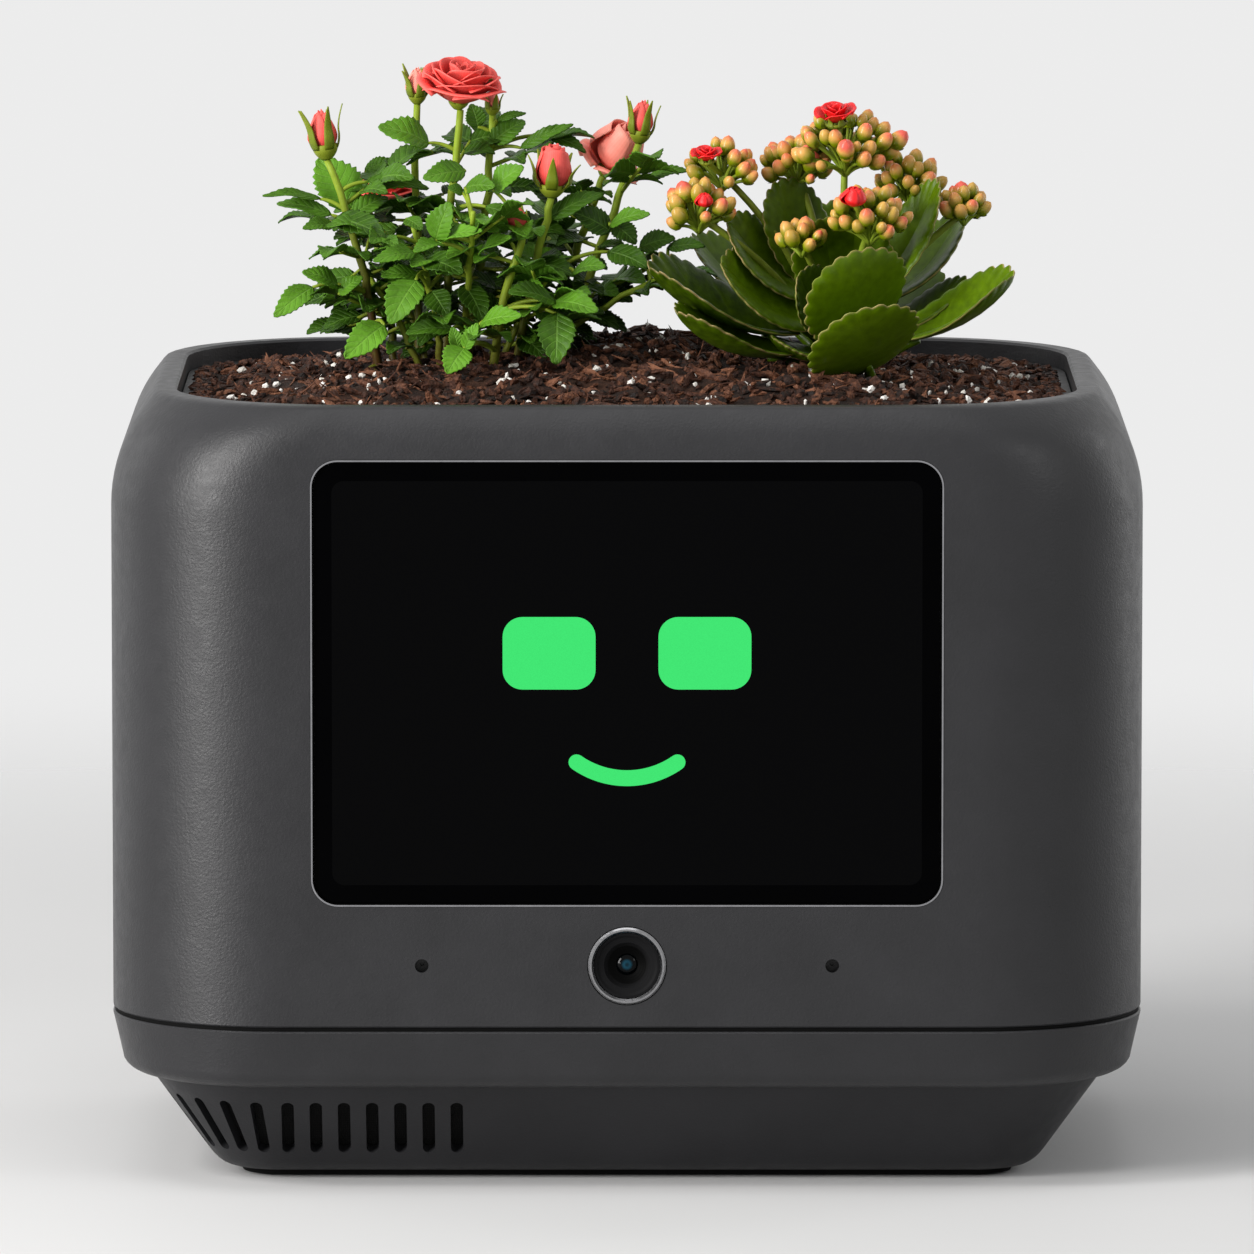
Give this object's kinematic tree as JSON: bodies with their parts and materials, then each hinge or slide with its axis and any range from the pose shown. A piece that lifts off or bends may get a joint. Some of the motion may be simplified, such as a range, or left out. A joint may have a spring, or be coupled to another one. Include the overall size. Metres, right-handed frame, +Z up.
{
  "type": "smart plant pot",
  "caption": "Rounded self-watering plant pot with a front display face, camera and speaker slots, a lift-out planted basin over a water tank, and a sloped base.",
  "frame": {"origin": "middle of the footprint, on the surface that the pot stands on", "axes": "+Z up, the display faces -Y, +X to the right of someone who looks at the display"},
  "size_m": [0.257, 0.1905, 0.2726],
  "materials": {
    "shell_plastic": "fine matte grain, dark grey",
    "base_plastic": "satin, near black",
    "black_rubber": "matte",
    "screw_steel": "zinc plated",
    "speaker_cloth": "woven",
    "speaker_paper": "pressed",
    "black_plastic": "moulded",
    "cell_wrap": "shrink wrapped",
    "circuit_board": "solder mask",
    "connector_metal": "drawn",
    "trim_metal": "satin",
    "bezel_chrome": "polished",
    "screen_glass": "polished, black backed",
    "lens_glass": "coated",
    "flex_cable": "polyimide",
    "tank_plastic": "moulded",
    "float_foam": "closed cell",
    "contact_gold": "plated",
    "wick_cotton": "braided",
    "potting_mix": "loose bark and peat",
    "rose_leaf": "satin leaf",
    "rose_petal": "soft petal",
    "kalanchoe_leaf": "waxy leaf",
    "kalanchoe_bud": "waxy bud",
    "kalanchoe_petal": "soft petal"
  },
  "bodies": {
    "pot_body": {"foot_ring": "black_rubber", "base_cover": "base_plastic", "base_screws": "screw_steel", "base_housing": "base_plastic", "speaker_mesh": "speaker_cloth", "speaker_frame": "black_plastic", "speaker_cone": "speaker_paper", "speaker_magnet": "screw_steel", "battery_tray": "black_plastic", "battery_cells": "cell_wrap", "main_board": "circuit_board", "board_chips": "black_plastic", "board_screws": "screw_steel", "usb_socket": "connector_metal", "power_switch": "black_plastic", "skirt": "shell_plastic", "seam_gasket": "black_rubber", "shell_screws": "screw_steel", "outer_shell": "shell_plastic", "display_trim": "trim_metal", "display_glass": "screen_glass", "display_panel": "black_plastic", "display_bracket": "screw_steel", "display_screws": "screw_steel", "display_board": "circuit_board", "display_ribbon": "flex_cable", "camera_bezel": "bezel_chrome", "camera_baffle": "black_plastic", "camera_lens": "lens_glass", "camera_module": "black_plastic", "camera_screws": "screw_steel", "camera_ribbon": "flex_cable", "microphones": "black_plastic", "dock_contacts": "black_plastic", "water_tank": "tank_plastic", "float_clip": "black_plastic"},
    "planter": {"planter_basin": "base_plastic", "probe_contacts": "contact_gold", "moisture_probe": "circuit_board", "wick_grommets": "black_rubber", "wicks": "wick_cotton", "soil": "potting_mix", "rose_bush": "rose_leaf", "rose_blooms": "rose_petal", "kalanchoe_leaves": "kalanchoe_leaf", "kalanchoe_buds": "kalanchoe_bud", "kalanchoe_blooms": "kalanchoe_petal"},
    "level_float": {"level_float": "float_foam", "float_magnet": "screw_steel"},
    "power_button": {"power_button": "trim_metal"}
  },
  "joints": [
    {"name": "planter_lift", "type": "slide", "parent": "pot_body", "child": "planter", "axis": [0, 0, 1], "range_m": [0, 0.16]},
    {"name": "float_rise", "type": "slide", "parent": "pot_body", "child": "level_float", "axis": [0, 0, 1], "range_m": [0, 0.018]},
    {"name": "power_press", "type": "slide", "parent": "pot_body", "child": "power_button", "axis": [0, -1, 0], "range_m": [0, 0.0008], "stiffness_N_per_m": 1500, "springref_m": -0.0006}
  ]
}
